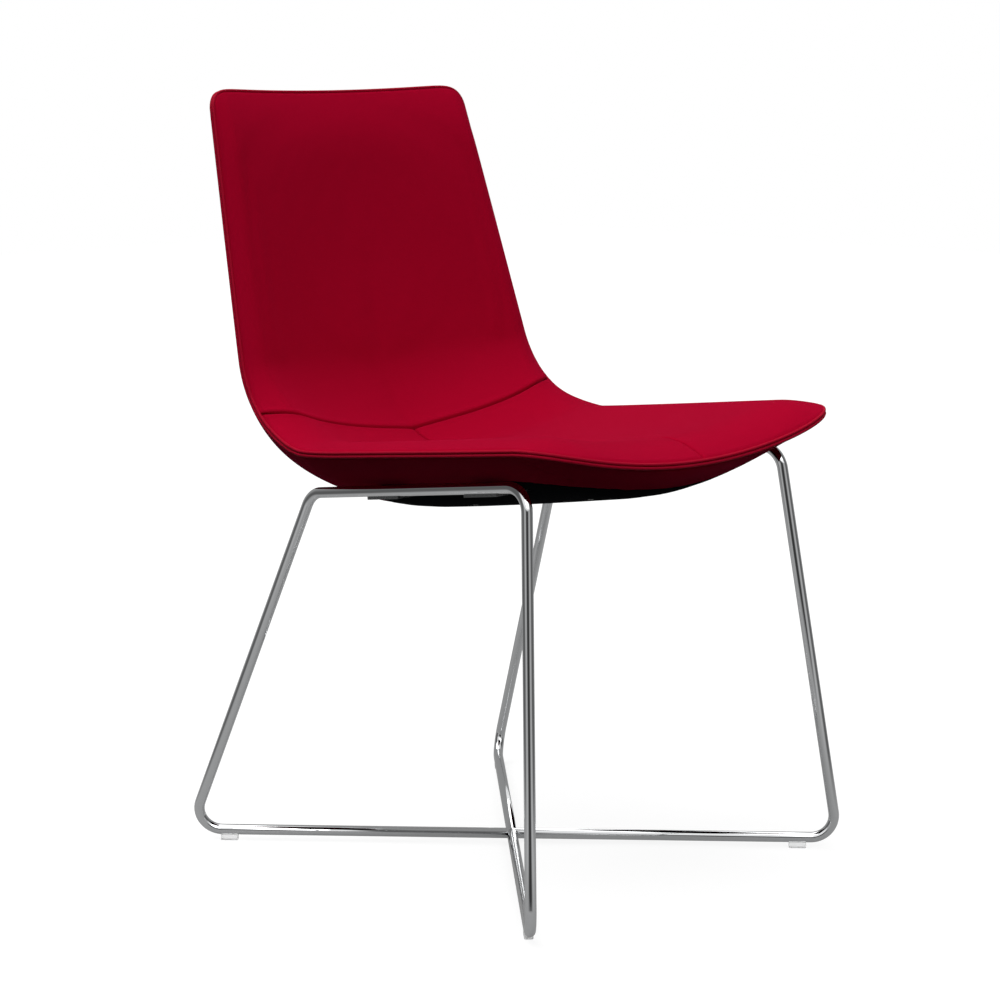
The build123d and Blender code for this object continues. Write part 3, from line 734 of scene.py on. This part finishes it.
@dataclass
class Upholstery:
    """The padded covers of the shell, their seams and their sewn edge."""

    form: ShellForm
    cloth: bpy.types.Material
    edging: bpy.types.Material
    pan: PanForm = PanForm()
    cover_thickness: float = 2.2
    foam_clearance: float = 5.0
    foam_inset: float = 16.0
    seam_gap: float = 0.25
    seam_fold: float = 5.4
    seam_fold_length: float = 2.4
    seam_roll: float = 0.45
    seam_roll_from: float = 4.2
    seam_roll_length: float = 2.2
    centre_fold: float = 4.4
    centre_fold_length: float = 3.0
    centre_dip: float = 1.1
    centre_dip_length: float = 14.0
    panel_inset: float = 2.4
    edge_fold: float = 2.0
    edge_fold_length: float = 3.5
    bead_radius: float = 1.7
    bead_rise: float = 1.75
    bead_inset: float = 1.7
    pan_tuck: float = 4.5
    pan_tuck_length: float = 3.0
    pan_tuck_start: float = 0.6
    pan_margin: float = 9.0
    held_reach: float = 45.0
    seat_grid: tuple[int, int] = (60, 96)
    back_grid: tuple[int, int] = (100, 100)
    outer_grid: tuple[int, int] = (120, 190)
    bead_resolution: int = 3
    settling: Settling = Settling()

    def seat_hold(self, x: float, s: float) -> float:
        """Share by which the seat's cover is held: wholly at its seams and its edge."""
        return max(1 - rise(abs(x), self.held_reach), self.back_hold(x, s))

    def back_hold(self, x: float, s: float) -> float:
        """Share by which the back's cover is held: wholly at its seam and its edge."""
        off = min(self.form.edge_distance(x, s), self.form.seam_distance(x, s))
        return 1 - rise(off, self.held_reach)

    def padded_face(self, x: float, s: float) -> float:
        """Height of the sewn padding, with its folds into the seams and the edge."""
        form = self.form
        height = form.cushion(x, s)
        off = form.seam_distance(x, s)
        from_roll = (off - self.seam_roll_from) / self.seam_roll_length
        height += self.seam_roll * math.exp(-from_roll ** 2)
        height -= self.seam_fold * (1 - rise(off, self.seam_fold_length))
        return height - self.edge_drop(x, s)

    def edge_drop(self, x: float, s: float) -> float:
        """Depth by which a cover folds in under its bead."""
        inside = self.form.edge_distance(x, s) - self.panel_inset
        return self.edge_fold * (1 - rise(inside, self.edge_fold_length))

    def seat_face(self, x: float, s: float) -> float:
        """Height of the seat's padding, with the fold into its centre seam."""
        fold = self.centre_fold * (1 - rise(abs(x), self.centre_fold_length))
        dip = self.centre_dip * (1 - rise(abs(x), self.centre_dip_length))
        return self.padded_face(x, s) - fold - dip

    def pad_height(self, x: float, s: float, top: float, outside: bool) -> float:
        """Height of a pad's outside or underside.

        Args:
            x: distance from the chair's middle.
            s: station along the edge.
            top: height of the outside.
            outside: whether the outside is asked for.

        Returns:
            The height. The underside is a cover's thickness down at the edge
            and runs in to the plywood.
        """
        if outside:
            return top
        inside = rise(self.form.edge_distance(x, s) - self.foam_inset, self.foam_inset)
        lining = top - self.cover_thickness
        ply = min(self.form.middle(x, s) + self.foam_clearance, lining)
        return lining * (1 - inside) + ply * inside

    def spread(self, u: float, along: float, start: float, end: float) -> tuple[float, float]:
        """Place across and along the shell, at shares of a panel between two stations."""
        s = start + (end - start) * gathered(along)
        return u * (self.form.lines["width"].at(s) - self.panel_inset), s

    def seat_place(self, side: Side) -> Place:
        """Formula for one half of the seat, from its centre seam to its edge."""
        form = self.form

        def place(across: float, along: float, outside: bool) -> Spot:
            """Point and UV of the half seat."""
            u = gathered(across)
            start = form.front_station(u) + self.panel_inset
            x, s = self.spread(u, along, start, form.seam_station(u) - self.seam_gap)
            x = max(x, self.seam_gap)
            height = self.pad_height(x, s, self.seat_face(x, s), outside)
            return form.point(side.value * x, s, height), (x * MM, s * MM)
        return place

    def back_place(self, across: float, along: float, outside: bool) -> Spot:
        """Formula for the back, from the seam to its top edge."""
        form = self.form
        u = 2 * gathered(across) - 1
        start = form.seam_station(u) + self.seam_gap
        x, s = self.spread(u, along, start, form.top_station(u) - self.panel_inset)
        height = self.pad_height(x, s, self.padded_face(x, s), outside)
        return form.point(x, s, height), (x * MM, s * MM)

    def outer_place(self, across: float, along: float, outside: bool) -> Spot:
        """Formula for the outer cover, from the front lip to the top edge."""
        form = self.form
        u = 2 * gathered(across) - 1
        start = form.front_station(u) + self.panel_inset
        x, s = self.spread(u, along, start, form.top_station(u) - self.panel_inset)
        tucked = rise(self.pan.inside(x, s) + self.pan_tuck_start, self.pan_tuck_length)
        height = form.hull(x, s) + self.edge_drop(x, s) + self.pan_tuck * tucked
        if not outside:
            height += self.cover_thickness
        return form.point(x, s, height), (x * MM, s * MM)

    def outer_cover(self) -> bmesh.types.BMesh:
        """The outer cover, with the opening that the pan closes."""
        bm = blank(self.outer_grid, self.outer_place)
        uv = bm.loops.layers.uv.active

        def within(loop: bmesh.types.BMLoop) -> bool:
            """Whether a face's corner lies well inside the pan."""
            return self.pan.inside(*(loop[uv].uv / MM)) > self.pan_margin
        opened = [face for face in bm.faces if all(within(loop) for loop in face.loops)]
        bmesh.ops.delete(bm, geom=opened, context="FACES")
        bmesh.ops.bridge_loops(bm, edges=[edge for edge in bm.edges if edge.is_boundary])
        bmesh.ops.recalc_face_normals(bm, faces=bm.faces[:])
        return bm

    def edge_loop(self, height: float, steps: int = 60) -> list[Vector]:
        """Points round the sewn edge at a height, as a closed line."""
        form = self.form
        angles = [math.pi * (i / steps - 0.5) for i in range(steps)]
        front = [(math.sin(a), form.front_station(math.sin(a)) + self.bead_inset) for a in angles]
        top = [(-math.sin(a), form.top_station(math.sin(a)) - self.bead_inset) for a in angles]
        low = form.front_corner_length + self.bead_inset
        high = form.s_top - form.top_corner_length - self.bead_inset
        left = [(1.0, low + (high - low) * i / (2 * steps)) for i in range(2 * steps)]
        right = [(-1.0, s) for _, s in reversed(left)]
        line = []
        for u, s in front + left + top + right:
            x = u * (form.lines["width"].at(s) - self.bead_inset)
            line.append(form.point(x, s, form.middle(x, s) + height))
        return line

    def bead(self, name: str, height: float) -> bpy.types.Object:
        """Rolled bead round the sewn edge.

        Args:
            name: the piece's name.
            height: height of the bead's middle over the edge.

        Returns:
            The bead, as a mesh.
        """
        points = self.edge_loop(height)
        curve = bpy.data.curves.new(name, "CURVE")
        curve.dimensions = "3D"
        curve.bevel_depth = self.bead_radius * MM
        curve.bevel_resolution = self.bead_resolution
        spline = curve.splines.new("POLY")
        spline.points.add(len(points) - 1)
        for knot, point in zip(spline.points, points):
            knot.co = (*point, 1)
        spline.use_cyclic_u = True
        route = bpy.data.objects.new(name + "_route", curve)
        mesh = bpy.data.meshes.new_from_object(route)
        bpy.data.objects.remove(route)
        bm = bmesh.new()
        bm.from_mesh(mesh)
        bpy.data.meshes.remove(mesh)
        return piece_from(bm, name, self.edging)

    def build(self) -> None:
        """Builds the padded pieces and the beads of the sewn edge."""
        for side in Side:
            hand = side.name.lower()
            shape = blank(self.seat_grid, self.seat_place(side), self.seat_hold)
            seat = piece_from(shape, f"seat_pad_{hand}", self.cloth)
            self.settling.run(seat)
            refine(seat)
            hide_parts(*([f"seat_cover_{hand}"]
                                + (["seat_foam"] if side is Side.LEFT else [])))
        shape = blank(self.back_grid, self.back_place, self.back_hold)
        back = piece_from(shape, "back_pad", self.cloth)
        self.settling.run(back)
        outer = piece_from(self.outer_cover(), "outer_pad", self.cloth)
        for pad, nodes in ((back, ("back_cover", "back_foam")),
                           (outer, ("outer_cover", "outer_foam"))):
            refine(pad)
            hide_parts(*nodes)
        self.bead("edge_bead_upper", self.bead_rise)
        self.bead("edge_bead_lower", -self.bead_rise)


@dataclass
class SledBase:
    """The two bent loops of chromed rod."""

    chrome: bpy.types.Material
    rod_radius: float = 5.55
    bend_radius: float = 24.0
    centre_y: float = -15.7
    foot_height: float = 11.15
    foot_half_width: float = 231.0
    foot_half_length: float = 255.1
    front_top: tuple[float, float, float] = (185.5, -204.6, 429.8)
    rear_top: tuple[float, float, float] = (181.0, 108.0, 386.9)
    around: int = 32
    bend_steps: int = 14

    def corners(self, side: Side) -> list[Vector]:
        """Corners of one loop's centre line, from the floor crossing and back to it."""
        middle = Vector((0, self.centre_y, self.foot_height))
        x = side.value * self.foot_half_width
        feet = [Vector((x, self.centre_y + y, self.foot_height))
                for y in (-self.foot_half_length, self.foot_half_length)]
        tops = [Vector((side.value * x, self.centre_y + y, z))
                for x, y, z in (self.front_top, self.rear_top)]
        over = 2 * self.rod_radius
        start, end = (middle + (middle - foot).normalized() * over for foot in feet)
        return [start, feet[0], *tops, feet[1], end]

    def loop(self, side: Side) -> bmesh.types.BMesh:
        """One loop of rod: straight runs extruded and bends spun from a circle.

        Args:
            side: the half of the chair.

        Returns:
            The closed loop, cut off at the chair's middle.
        """
        bm = bmesh.new()
        corners = self.corners(side)
        run = (corners[1] - corners[0]).normalized()
        turned = run.to_track_quat("Z", "Y").to_matrix().to_4x4()
        bmesh.ops.create_circle(bm, segments=self.around, radius=self.rod_radius * MM,
                                matrix=Matrix.Translation(corners[0] * MM) @ turned)
        ring, here = bm.edges[:], corners[0]
        for before, corner, after in zip(corners, corners[1:], corners[2:]):
            into, out = (corner - before).normalized(), (after - corner).normalized()
            angle = into.angle(out)
            setback = self.bend_radius * math.tan(angle / 2)
            start = corner - into * setback
            ring = self.straight(bm, ring, start - here)
            axis = into.cross(out).normalized()
            centre = start + axis.cross(into) * self.bend_radius
            spun = bmesh.ops.spin(bm, geom=ring, cent=centre * MM, axis=axis, angle=angle,
                                  steps=self.bend_steps)
            ring = [e for e in spun["geom_last"] if isinstance(e, bmesh.types.BMEdge)]
            here = corner + out * setback
        self.straight(bm, ring, corners[-1] - here)
        bmesh.ops.bisect_plane(bm, geom=bm.verts[:] + bm.edges[:] + bm.faces[:],
                               dist=WELD_DISTANCE, plane_co=(0, 0, 0),
                               plane_no=(side.value, 0, 0), clear_inner=True)
        bmesh.ops.remove_doubles(bm, verts=bm.verts[:], dist=WELD_DISTANCE)
        bmesh.ops.holes_fill(bm, edges=[e for e in bm.edges if e.is_boundary], sides=0)
        bmesh.ops.recalc_face_normals(bm, faces=bm.faces[:])
        return bm

    def straight(self, bm: bmesh.types.BMesh, ring: list, step: Vector) -> list:
        """Extrudes a ring of edges along a straight run and returns the far ring."""
        grown = bmesh.ops.extrude_edge_only(bm, edges=ring)["geom"]
        moved = [v for v in grown if isinstance(v, bmesh.types.BMVert)]
        bmesh.ops.translate(bm, verts=moved, vec=step * MM)
        return [e for e in grown if isinstance(e, bmesh.types.BMEdge) and len(e.link_faces) == 1]

    def build(self) -> None:
        """Builds both loops in place of their CAD nodes."""
        for side in Side:
            hand = side.name.lower()
            rod = piece_from(self.loop(side), f"rod_loop_{hand}", self.chrome)
            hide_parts(f"frame_loop_{hand}")


@dataclass
class Hardware:
    """CAD nodes that keep their shape and get their finish here."""

    finishes: dict[str, bpy.types.Material]
    sharp_angle: float = 0.6

    def smoothing(self) -> bpy.types.NodeTree:
        """Geometry group that shades a node smoothly, apart from its sharp edges."""
        group = bpy.data.node_groups.new("shade_by_angle", "GeometryNodeTree")
        for way in ("INPUT", "OUTPUT"):
            group.interface.new_socket("Geometry", in_out=way, socket_type="NodeSocketGeometry")
        n = Nodes(group)
        ins, outs = n.add("NodeGroupInput"), n.add("NodeGroupOutput")
        merge = n.add("GeometryNodeMergeByDistance",
                      {"Geometry": ins.outputs[0], "Distance": WELD_DISTANCE})
        faces = n.add("GeometryNodeSetShadeSmooth", {"Geometry": merge.outputs[0]}, domain="FACE")
        angle = n.add("GeometryNodeInputMeshEdgeAngle").outputs["Unsigned Angle"]
        sharp = n.math("GREATER_THAN", angle, self.sharp_angle)
        edges = n.add("GeometryNodeSetShadeSmooth",
                      {"Geometry": faces.outputs[0], "Selection": sharp, "Shade Smooth": False},
                      domain="EDGE")
        n.join(edges.outputs[0], outs.inputs[0])
        return group

    def build(self) -> None:
        """Dresses every CAD node that a finish is given for."""
        group = self.smoothing()
        for node, material in self.finishes.items():
            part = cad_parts[node]
            part.data.materials.clear()
            part.data.materials.append(material)
            part.modifiers.new("shading", "NODES").node_group = group
            log.info("%s: dressed as %s", node, material.name)


@dataclass
class Studio:
    """White floor, soft light and the camera of the photograph."""

    camera_at: tuple[float, float, float] = (-1.94697, -1.95508, 0.84139)
    camera_towards: tuple[float, float, float] = (0.69518521, 0.69869742, -0.16893619)
    camera_right: tuple[float, float, float] = (0.7087274, -0.70548123, -0.0013)
    lens: float = 96.46
    sensor: float = 36.0
    floor_size: float = 14.0
    floor_squares: int = 8
    key_strength: float = 1.85
    key_from: tuple[float, float, float] = (-0.22, 0.22, 1.0)
    key_spread: float = 60.0
    fill_strength: float = 0.95
    fill_from: tuple[float, float, float] = (-0.45, -1.0, 1.0)
    fill_spread: float = 40.0
    world_light: float = 0.32
    floor_tone: float = 0.24
    floor_glow: float = 0.85
    floor_mirrored: float = 0.19
    floor_bounce: float = 0.02
    lit_pool: tuple[float, float] = (0.55, 1.15)
    sky_slope: float = 0.9
    sky_level: float = 0.25
    far_floor_share: float = 0.5
    least_level: float = 0.01
    wall_greys: Knots = ((0.0, 0.3), (0.21, 0.32), (0.45, 0.11), (0.68, 0.13), (0.79, 0.4),
                         (0.88, 0.5), (0.94, 0.38), (0.98, 0.06), (1.0, 0.04))
    overhead_greys: Knots = ((0.0, 0.0), (0.86, 0.0), (0.9, 1.0), (1.0, 1.0))
    high_greys: Knots = ((0.0, 0.0), (0.62, 0.0), (0.66, 1.0), (1.0, 1.0))
    ahead_greys: Knots = ((0.0, 0.0), (0.35, 0.0), (0.6, 1.0), (1.0, 1.0))

    def camera(self) -> None:
        """Camera at the photograph's place and angle."""
        towards = Vector(self.camera_towards).normalized()
        right = Vector(self.camera_right).normalized()
        up = right.cross(towards).normalized()
        turned = Matrix((right, up, -towards)).transposed().to_4x4()
        data = bpy.data.cameras.new("camera")
        data.lens, data.sensor_width = self.lens, self.sensor
        camera = bpy.data.objects.new("camera", data)
        camera.matrix_world = Matrix.Translation(self.camera_at) @ turned
        bpy.context.scene.collection.objects.link(camera)
        bpy.context.scene.camera = camera

    def floor(self) -> None:
        """Pale floor that looks white and keeps the chair's shadow."""
        bm = bmesh.new()
        bmesh.ops.create_grid(bm, x_segments=self.floor_squares, y_segments=self.floor_squares,
                              size=self.floor_size / 2)
        mesh = bpy.data.meshes.new("floor")
        bm.to_mesh(mesh)
        bm.free()
        floor = bpy.data.objects.new("floor", mesh)
        bpy.context.scene.collection.objects.link(floor)
        material = bpy.data.materials.new("white_floor")
        material.use_nodes = True
        n = Nodes(material.node_tree)
        shader = material.node_tree.nodes["Principled BSDF"]
        shader.inputs["Roughness"].default_value = 1.0
        shader.inputs["Specular IOR Level"].default_value = 0.0
        seen, glossy = n.rays()
        mirrored = n.math("MULTIPLY", glossy, self.mirrored_floor(n))
        tone = n.math("MAXIMUM", n.between(seen, self.floor_bounce, self.floor_tone), mirrored)
        glow = n.math("MAXIMUM", n.between(seen, 0.0, self.floor_glow), mirrored)
        shader.inputs["Emission Color"].default_value = (1, 1, 1, 1)
        n.join(tone, shader.inputs["Base Color"])
        n.join(glow, shader.inputs["Emission Strength"])
        mesh.materials.append(material)

    def mirrored_floor(self, n: Nodes) -> Socket:
        """The floor in polished metal: a lit pool round the chair, and the walls' greys beyond."""
        x, y, _ = n.axes("Object")
        away = n.math("SQRT", n.math("ADD", n.math("MULTIPLY", x, x), n.math("MULTIPLY", y, y)))
        beyond = n.between(away, 0.0, 1.0, *self.lit_pool)
        far = n.math("MULTIPLY", self.walls(n, x, y, away), self.far_floor_share)
        return n.mix(beyond, self.floor_mirrored, far)

    def facing(self, n: Nodes, x: Socket, y: Socket, level: Socket) -> Socket:
        """How far (x, y), of length level, points to the studio's front, from -1 to 1."""
        front = Vector(self.camera_at[:2]).normalized()
        along = n.math("ADD", n.math("MULTIPLY", x, front.x), n.math("MULTIPLY", y, front.y))
        return n.math("DIVIDE", along, n.math("MAXIMUM", level, self.least_level))

    def walls(self, n: Nodes, x: Socket, y: Socket, level: Socket) -> Socket:
        """Greys of the studio's walls in the direction (x, y), of length level."""
        turned = n.math("MULTIPLY", self.facing(n, x, y, level), 0.5)
        return n.ramp(n.math("ADD", turned, 0.5), self.wall_greys)

    def mirrored_room(self, n: Nodes, x: Socket, y: Socket, z: Socket) -> Socket:
        """The room in polished metal: grey, and lit from overhead and from high in front."""
        level = n.math("SQRT", n.math("SUBTRACT", 1.0, n.math("MULTIPLY", z, z)))
        height = n.math("ADD", n.math("MULTIPLY", z, 0.5), 0.5)
        overhead = n.ramp(height, self.overhead_greys)
        ahead = n.ramp(self.facing(n, x, y, level), self.ahead_greys)
        high = n.math("MULTIPLY", n.ramp(height, self.high_greys), ahead)
        lights = n.math("MAXIMUM", overhead, high)
        return n.math("MAXIMUM", self.walls(n, x, y, level), lights)

    def world(self) -> None:
        """White background, with light that falls mostly from above."""
        world = bpy.data.worlds.new("studio")
        bpy.context.scene.world = world
        world.use_nodes = True
        n = Nodes(world.node_tree)
        background = world.node_tree.nodes["Background"]
        background.inputs["Color"].default_value = (1, 1, 1, 1)
        x, y, z = n.axes("Generated")
        seen, glossy = n.rays()
        above = n.math("MULTIPLY", z, self.sky_slope)
        sky = n.math("ADD", above, self.sky_level, clamp=True)
        soft = n.math("MULTIPLY", sky, self.world_light)
        unseen = n.mix(glossy, soft, self.mirrored_room(n, x, y, z))
        n.join(n.mix(seen, unseen, 1.0), background.inputs["Strength"])

    def lamp(self, name: str, strength: float, origin: tuple[float, float, float],
             spread: float) -> None:
        """Wide soft light from one side.

        Args:
            name: the light's name.
            strength: its strength.
            origin: the side that it comes from, as a direction.
            spread: its width in degrees.
        """
        data = bpy.data.lights.new(name, "SUN")
        data.energy, data.angle = strength, math.radians(spread)
        lamp = bpy.data.objects.new(name, data)
        lamp.matrix_world = (-Vector(origin)).to_track_quat("-Z", "Y").to_matrix().to_4x4()
        bpy.context.scene.collection.objects.link(lamp)

    def build(self) -> None:
        """Builds the studio round the chair."""
        self.camera()
        self.floor()
        self.world()
        self.lamp("key", self.key_strength, self.key_from, self.key_spread)
        self.lamp("fill", self.fill_strength, self.fill_from, self.fill_spread)
        bpy.context.scene.view_settings.view_transform = "Standard"


def main() -> None:
    """Builds the chair's looks, then the studio."""
    logging.basicConfig(level=logging.INFO, format="%(name)s: %(message)s")
    groups = {"weave": weave_group(), "grain": grain_group()}
    cloth, welt, chrome, tab_chrome_shaded, black, zinc, clear, ply = (
        finish.material(groups)
        for finish in (CLOTH, WELT, CHROME, SHADED_CHROME, PAN_BLACK, ZINC, CLEAR, PLY))
    Upholstery(ShellForm(), cloth, welt).build()
    SledBase(chrome).build()
    corners = [f"{end}_{side.name.lower()}" for end in ("front", "rear") for side in Side]
    # The mount tabs get the chrome darkened by painted shade, as they sit under the seat.
    finishes = {f"mount_tab_{corner}": tab_chrome_shaded for corner in corners}
    finishes |= {f"glide_{corner}": clear for corner in corners}
    finishes |= {"belly_pan": black, "mount_spacers": black, "inner_shell": ply}
    fasteners = ("pan_screws", "tee_nuts", "mount_bolts", "mount_washers")
    finishes |= {node: zinc for node in fasteners}
    Hardware(finishes).build()
    Studio().build()


if __name__ == "__main__":
    main()
